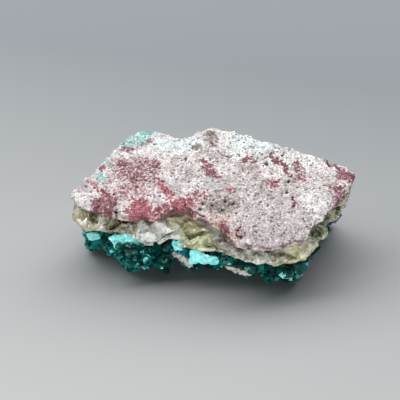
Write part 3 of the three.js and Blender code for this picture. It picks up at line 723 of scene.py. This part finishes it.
# Layers of lumps: height and size in millimetres, and a seed
LEDGE_LUMPS = [(0.45, 1.5, 40), (0.32, 0.8, 50), (0.14, 0.35, 60)]
CHRYSOCOLLA_DEEP = (0.12, 0.78, 0.77)
CHRYSOCOLLA_PALE = (0.48, 0.96, 0.94)
CHRYSOCOLLA_CHALK = (0.52, 0.90, 0.87)
CHRYSOCOLLA_DULL = (0.03, 0.26, 0.22)
# Each ledge: how far dioptase has stained it, its swelling in millimetres, how tall its back is
# as a share of the solid's, and how far it is raised in millimetres.
LEDGES = {
    "left_end": (0.25, 0.05, 0.65, 1.35),
    "left": (0.0, 0.40, 1.1, 0.45),
    "notch": (0.2, 0.15, 1.1, 0.0),
    "middle": (0.15, 0.08, 1.0, 0.0),
    "right": (0.9, 0.0, 1.0, 0.0),
}

chrysocolla_finish, tree, shader = new_material("chrysocolla_wax")
layer = clouds(tree, 0.9 * MM, 4.0)
chalk = clouds(tree, 0.28 * MM, 2.0)
pale_share = stretched(tree, layer, 0.35, 0.65, 0, 1)
chalk_share = stretched(tree, chalk, 0.58, 0.75, 0, 0.6)
dull_share = shares_of(tree, "dull")[0]
ledge_colour = colour_mix(tree, pale_share, CHRYSOCOLLA_DEEP, CHRYSOCOLLA_PALE)
ledge_colour = colour_mix(tree, chalk_share, ledge_colour, CHRYSOCOLLA_CHALK)
ledge_colour = colour_mix(tree, dull_share, ledge_colour, CHRYSOCOLLA_DULL)
put(tree, shader.inputs["Base Color"], ledge_colour)
put(tree, shader.inputs["Roughness"], stretched(tree, chalk, 0.3, 0.7, 0.35, 0.6))
bumps(tree, shader, sums(tree, "ADD", layer, sums(tree, "MULTIPLY", chalk, 0.4)), 0.08 * MM, 0.6)

# Points on the ledges' upper halves, which the dioptase crystals keep clear of
ledge_points = []
for which, (ledge, (dull, swelling, tall, raised)) in enumerate(LEDGES.items()):
    node = f"chrysocolla_ledge_{ledge}"
    piece = merged_copy(node, f"{node}_wax")
    fine_skin(piece, LEDGE_SKIN_CELL, LEDGE_SKIN_SMOOTHING)
    points, normals = points_of(piece), normals_of(piece)
    rise = with_lumps(swelling, points, LEDGE_LUMPS, more_seed=which)
    points += normals * (rise * MM)[:, None]
    low, high = points.min(axis=0), points.max(axis=0)
    front = (high[1] - points[:, 1]) / (high[1] - low[1])
    points[:, 2] = low[2] + raised * MM + (points[:, 2] - low[2]) * (tall - LEDGE_SLOPE * front)
    set_points(piece, points)
    half_way = (points[:, 2].min() + points[:, 2].max()) / 2
    ledge_points += [Vector(point) for point in points[::8] if point[2] > half_way]
    paint(piece, "dull", [np.full(len(points), dull)])
    dress(piece, chrysocolla_finish)
    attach(piece, "root")
    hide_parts(node)


# Dioptase druse
#
# The crust of emerald crystals that the specimen lies on. The large crystals have the solid's flat
# faces, and thousands of small ones cover the crust between them. A small one is a hexagonal
# prism that ends in three sloping faces over alternate edges.

# Left of here the crust is drawn in to this share of its reach.
DRUSE_LEFT = -25.5 * MM
LEFT_DRAWN_IN = 0.6

# The small crystals: how many are tried, their smallest, largest and most usual radius in
# millimetres, their length to the ends as a multiple of that, the ends' slope, and their lean
SMALL_CRYSTALS = 4300
CRYSTAL_RADIUS = (0.18, 0.90, 0.34)
CRYSTAL_LENGTHS = (0.9, 1.15, 1.4, 1.8)
END_SLOPE = 1.23
CRYSTAL_LEAN = 0.7
# Those close under the seam near its front are larger: between which x, above which z, by what
LARGER_BETWEEN = (4 * MM, 15 * MM)
LARGER_ABOVE = 4.5 * MM
LARGER = 1.25
# Where small crystals grow: from the left end to the right end, which is further out in front,
# from the lowest to the highest, and on no face that looks up more than this
CRYSTALS_LEFT = -28 * MM
CRYSTALS_RIGHT = 18.5 * MM
CRYSTALS_RIGHT_IN_FRONT = 20.5 * MM
FRONT = -10 * MM
CRYSTALS_LOWEST = 0.4 * MM
CRYSTALS_HIGHEST = 7.3 * MM
LOOKS_UP = 0.8
# How close a crystal may come to the floor and to a ledge
FLOOR_GAP = 0.03 * MM
LEDGE_GAP = 0.45 * MM
# Where the crystals are paler, to the left, and darker, to the right, and by how much
PALER_LEFT = (-12 * MM, -21 * MM)
DARKER_RIGHT = (9 * MM, 16 * MM)
PALER = 0.30
DARKER = 0.22
# The spot in the notch where they run to blue, and its radius in millimetres
BLUE_SPOT = Vector((-6.6, -10.6, 5.4))
BLUE_RADIUS = 2.7
# A dark and a pale crystal's colour, and the same where they run to blue
EMERALD = ((0.0007, 0.027, 0.023), (0.010, 0.26, 0.217))
TEAL = ((0.001, 0.06, 0.085), (0.03, 0.42, 0.48))

druse = merged_copy("dioptase_druse", "dioptase_druse_crystals")
druse_points = points_of(druse)
past_end = np.minimum(druse_points[:, 0] - DRUSE_LEFT, 0)
druse_points[:, 0] -= (1 - LEFT_DRAWN_IN) * past_end
set_points(druse, druse_points)
show_flat(druse)


def crystal_template(length):
    """One crystal of radius 1 along +Z: a hexagonal prism with three faces cut over alternate
    edges."""
    shape = bmesh.new()
    bmesh.ops.create_cone(
        shape, cap_ends=True, segments=6, radius1=1.0, radius2=1.0, depth=2 * length,
    )
    for turn in range(3):
        angle = 2 * math.pi * turn / 3 + math.pi / 6
        slope = Vector((END_SLOPE * math.cos(angle), END_SLOPE * math.sin(angle), 1)).normalized()
        everything = [*shape.verts, *shape.edges, *shape.faces]
        cut = bmesh.ops.bisect_plane(
            shape, geom=everything, plane_co=(0, 0, length), plane_no=slope, clear_outer=True,
        )
        rim = [item for item in cut["geom_cut"] if isinstance(item, bmesh.types.BMEdge)]
        bmesh.ops.holes_fill(shape, edges=rim, sides=0)
    bmesh.ops.remove_doubles(shape, verts=shape.verts, dist=0.001)
    bmesh.ops.recalc_face_normals(shape, faces=shape.faces)
    mesh = bpy.data.meshes.new("template")
    shape.to_mesh(mesh)
    shape.free()
    return mesh


def scattered_on(mesh, count, wanted, luck):
    """Random spots on a mesh's faces, evenly by area, where wanted(point, normal) says so."""
    faces = [face for face in mesh.polygons if wanted(face.center, face.normal)]
    areas = [face.area for face in faces]
    for face in luck.choices(faces, weights=areas, k=count):
        corners = [mesh.vertices[i].co for i in face.vertices[:3]]
        a, b = sorted((luck.random(), luck.random()))
        spot = corners[0] * a + corners[1] * (b - a) + corners[2] * (1 - b)
        yield spot, face.normal.copy()


def shows_crystals(centre, normal):
    """Whether small crystals cover a face of the crust. At its right end the large ones stand
    alone."""
    right_end = CRYSTALS_RIGHT_IN_FRONT if centre.y < FRONT else CRYSTALS_RIGHT
    in_height = CRYSTALS_LOWEST < centre.z < CRYSTALS_HIGHEST
    return normal.z < LOOKS_UP and in_height and CRYSTALS_LEFT < centre.x < right_end


def bluish(spot):
    """Where the crystals run to blue: in the notch beside the late calcite."""
    return float((spot / MM - BLUE_SPOT).length < BLUE_RADIUS)


def paler(spot):
    """How much paler than the rest a crystal is. Less than nothing is darker."""
    return PALER * smooth_step(spot.x, *PALER_LEFT) - DARKER * smooth_step(spot.x, *DARKER_RIGHT)


ledge_tree = kdtree.KDTree(len(ledge_points))
for which, point in enumerate(ledge_points):
    ledge_tree.insert(point, which)
ledge_tree.balance()
crystal_luck = random.Random(11)
templates = [crystal_template(length) for length in CRYSTAL_LENGTHS]
crystal_tones = []
crystal_blues = []
# A hundred crystals to a batch, because a mesh takes them more slowly the larger it is
batches = []
spots = scattered_on(druse.data, SMALL_CRYSTALS, shows_crystals, crystal_luck)
for number, (spot, normal) in enumerate(spots):
    if number % 100 == 0:
        batches.append(bmesh.new())
    batch = batches[-1]
    radius = MM * crystal_luck.triangular(*CRYSTAL_RADIUS)
    if LARGER_BETWEEN[0] < spot.x < LARGER_BETWEEN[1] and spot.z > LARGER_ABOVE:
        radius *= LARGER
    lean = Vector([crystal_luck.uniform(-CRYSTAL_LEAN, CRYSTAL_LEAN) for _ in range(3)])
    grows = (normal + lean).normalized()
    turn = grows.to_track_quat("Z", "Y").to_matrix().to_4x4()
    spin = Matrix.Rotation(crystal_luck.uniform(0, math.pi), 4, "Z")
    stands = Matrix.Translation(spot) @ turn @ spin @ Matrix.Scale(radius, 4)
    template = crystal_luck.choice(templates)
    lowest = min((stands @ corner.co).z for corner in template.vertices)
    if lowest < FLOOR_GAP or ledge_tree.find(spot + radius * grows)[2] < LEDGE_GAP:
        continue
    start = len(batch.verts)
    batch.from_mesh(template)
    batch.verts.ensure_lookup_table()
    corners = len(batch.verts) - start
    crystal_tones += [crystal_luck.random() + paler(spot)] * corners
    crystal_blues += [bluish(spot)] * corners
    bmesh.ops.transform(batch, verts=batch.verts[start:], matrix=stands)
crowd = bmesh.new()
for batch in batches:
    batch_mesh = bpy.data.meshes.new("batch")
    batch.to_mesh(batch_mesh)
    batch.free()
    crowd.from_mesh(batch_mesh)
crowd_mesh = bpy.data.meshes.new("dioptase_small_crystals")
crowd.to_mesh(crowd_mesh)
crowd.free()
small_crystals = bpy.data.objects.new("dioptase_small_crystals", crowd_mesh)
bpy.context.scene.collection.objects.link(small_crystals)
paint(small_crystals, "tone", [np.array(crystal_tones), np.array(crystal_blues)])
druse_tones = [
    (noise.cell(v.co / (1.3 * MM)) + paler(v.co), bluish(v.co)) for v in druse.data.vertices
]
paint(druse, "tone", np.array(druse_tones).T)

dioptase_finish, tree, shader = new_material("dioptase_emerald")
depth = clouds(tree, 1.4 * MM, 3.0)
crystal_tone, blue_share = shares_of(tree, "tone")[:2]
tone = sums(tree, "MULTIPLY_ADD", crystal_tone, 0.6, sums(tree, "MULTIPLY", depth, 0.4))
tone_share = stretched(tree, tone, 0.4, 1.05, 0, 1)
emerald = colour_mix(tree, tone_share, *EMERALD)
teal = colour_mix(tree, tone_share, *TEAL)
put(tree, shader.inputs["Base Color"], colour_mix(tree, blue_share, emerald, teal))
put(tree, shader.inputs["Roughness"], stretched(tree, depth, 0.35, 0.65, 0.13, 0.28))
shader.inputs["IOR"].default_value = 1.67
shader.inputs["Specular IOR Level"].default_value = 0.27
shader.inputs["Specular Tint"].default_value = (0.40, 0.95, 0.88, 1)
shader.inputs["Transmission Weight"].default_value = 0.3
bumps(tree, shader, clouds(tree, 0.3 * MM), 0.03 * MM, 0.5)

for piece in (druse, small_crystals):
    dress(piece, dioptase_finish)
    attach(piece, "root")
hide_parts("dioptase_druse")


# Late calcite
#
# Two cloudy, pinkish-white growths of calcite, the last mineral to form. Each is a strip of
# rounded crystals grown into one another, perched on the dioptase.

# Where each strip goes on beyond its first lump (x, y, z in millimetres), and how wide it is there
STRIP_STEPS = {
    "left": [(-1.5, 0.7, 0.6, 0.85), (-3.0, 1.3, 1.1, 0.7)],
    "right": [(-1.6, 0.2, 0.5, 0.75)],
}
STRIP_RAISED = {"left": 0.0, "right": 0.65 * MM}
STRIP_SKIN_CELL = 0.1 * MM
STRIP_SKIN_SMOOTHING = 3
# Layers of lumps: height and size in millimetres, and a seed
STRIP_LUMPS = [(0.14, 0.8, 70), (0.07, 0.35, 80)]
LATE_CALCITE_DARK = (0.24, 0.22, 0.195)
LATE_CALCITE_PALE = (0.58, 0.54, 0.49)

late_finish, tree, shader = new_material("late_calcite_cloudy")
cloud = clouds(tree, 0.8 * MM, 4.0)
cloud_share = stretched(tree, cloud, 0.35, 0.65, 0, 1)
late_colour = colour_mix(tree, cloud_share, LATE_CALCITE_DARK, LATE_CALCITE_PALE)
put(tree, shader.inputs["Base Color"], late_colour)
put(tree, shader.inputs["Roughness"], stretched(tree, cloud, 0.35, 0.65, 0.2, 0.45))
shader.inputs["IOR"].default_value = 1.6
shader.inputs["Transmission Weight"].default_value = 0.25
bumps(tree, shader, sums(tree, "ADD", cloud, clouds(tree, 0.25 * MM)), 0.1 * MM, 0.7)


def grow_along(piece, steps):
    """Adds smaller copies of a piece's own mesh beside it, to make a strip of it."""
    shape = bmesh.new()
    shape.from_mesh(piece.data)
    middle = sum((v.co for v in shape.verts), Vector()) / len(shape.verts)
    first = list(shape.verts) + list(shape.edges) + list(shape.faces)
    for x, y, z, size in steps:
        made = bmesh.ops.duplicate(shape, geom=first)["geom"]
        corners = [item for item in made if isinstance(item, bmesh.types.BMVert)]
        moved = Matrix.Translation(middle + Vector((x, y, z)) * MM) @ Matrix.Scale(size, 4)
        bmesh.ops.transform(shape, verts=corners, matrix=moved @ Matrix.Translation(-middle))
    shape.to_mesh(piece.data)
    shape.free()


for which, side in enumerate(STRIP_STEPS):
    node = f"late_calcite_{side}"
    piece = merged_copy(node, f"{node}_cloudy")
    grow_along(piece, STRIP_STEPS[side])
    fine_skin(piece, STRIP_SKIN_CELL, STRIP_SKIN_SMOOTHING)
    points, normals = points_of(piece), normals_of(piece)
    rise = with_lumps(0.0, points, STRIP_LUMPS, more_seed=which)
    points += normals * (rise * MM)[:, None]
    points[:, 2] += STRIP_RAISED[side]
    set_points(piece, points)
    dress(piece, late_finish)
    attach(piece, "root")
    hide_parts(node)


# Floor, light and camera
#
# A plain pale floor, with painted shade that darkens it into grey behind. A broad soft window above
# and behind the specimen lights it, and a low light in front stands for what the room sends back.
# The camera looks down on it at 42 degrees.

FLOOR_SIZE = 3.0
FLOOR_PALE = (0.575, 0.575, 0.56)
FLOOR_SHADED_GREY = (0.202, 0.22, 0.237)
# Where painted shade turns the floor from pale to grey, and that line's turn from the X axis
FLOOR_FALLS_OFF = (-0.125, 0.060)
FLOOR_TURN = 0.22

# Each light: where it is, its width, its power in watts and its height
LIGHTS = {
    "window": ((-0.15, 0.64, 0.64), 4.20, 49.5, 0.60),
    "reflected_light": ((0.05, -1.30, 0.050), 2.4, 27.5, 0.085),
}
ROOM_COLOUR = (0.74, 0.90, 1.0, 1)
ROOM_STRENGTH = 0.048

CAMERA_ELEVATION = math.radians(42)
CAMERA_DISTANCE = 0.320
CAMERA_TARGET = Vector((-0.0028, 0.0045, 0.0060))
PICTURE_SIDE = 400
PIXELS_PER_METRE = 4680
SENSOR_WIDTH = 36

floor_shape = bmesh.new()
bmesh.ops.create_grid(floor_shape, x_segments=1, y_segments=1, size=FLOOR_SIZE / 2)
floor_mesh = bpy.data.meshes.new("floor")
floor_shape.to_mesh(floor_mesh)
floor_shape.free()
floor = bpy.data.objects.new("floor", floor_mesh)
bpy.context.scene.collection.objects.link(floor)
floor_finish, tree, shader = new_material("floor_paper")
floor_place = shade_node(tree, "SeparateXYZ", {0: place(tree)}).outputs
# Painted shade: the floor's colour darkens to grey behind, and a little more to the right
behind = sums(tree, "MULTIPLY_ADD", floor_place["X"], FLOOR_TURN, floor_place["Y"])
painted_floor_shade = stretched(tree, behind, *FLOOR_FALLS_OFF, 0, 1)
put(tree, shader.inputs["Base Color"], colour_mix(tree, painted_floor_shade, FLOOR_PALE, FLOOR_SHADED_GREY))
shader.inputs["Roughness"].default_value = 0.85
floor.data.materials.append(floor_finish)


def soft_light(name, where, width, power, height):
    """A rectangular light that faces the specimen."""
    lamp = bpy.data.lights.new(name, "AREA")
    lamp.shape = "RECTANGLE"
    lamp.size = width
    lamp.size_y = height
    lamp.energy = power
    made = bpy.data.objects.new(name, lamp)
    bpy.context.scene.collection.objects.link(made)
    made.location = where
    made.rotation_euler = (-Vector(where)).to_track_quat("-Z", "Y").to_euler()


for name, light in LIGHTS.items():
    soft_light(name, *light)

world = bpy.data.worlds.new("studio")
bpy.context.scene.world = world
world.use_nodes = True
background = world.node_tree.nodes["Background"]
background.inputs["Color"].default_value = ROOM_COLOUR
background.inputs["Strength"].default_value = ROOM_STRENGTH
bpy.context.scene.view_settings.view_transform = "Standard"

camera_data = bpy.data.cameras.new("camera")
camera = bpy.data.objects.new("camera", camera_data)
bpy.context.scene.collection.objects.link(camera)
towards_camera = Vector((0, -math.cos(CAMERA_ELEVATION), math.sin(CAMERA_ELEVATION)))
camera.location = CAMERA_TARGET + towards_camera * CAMERA_DISTANCE
camera.rotation_euler = (-towards_camera).to_track_quat("-Z", "Y").to_euler()
camera_data.sensor_width = SENSOR_WIDTH
camera_data.lens = PIXELS_PER_METRE * CAMERA_DISTANCE / PICTURE_SIDE * SENSOR_WIDTH
camera_data.clip_start = 0.01
bpy.context.scene.camera = camera
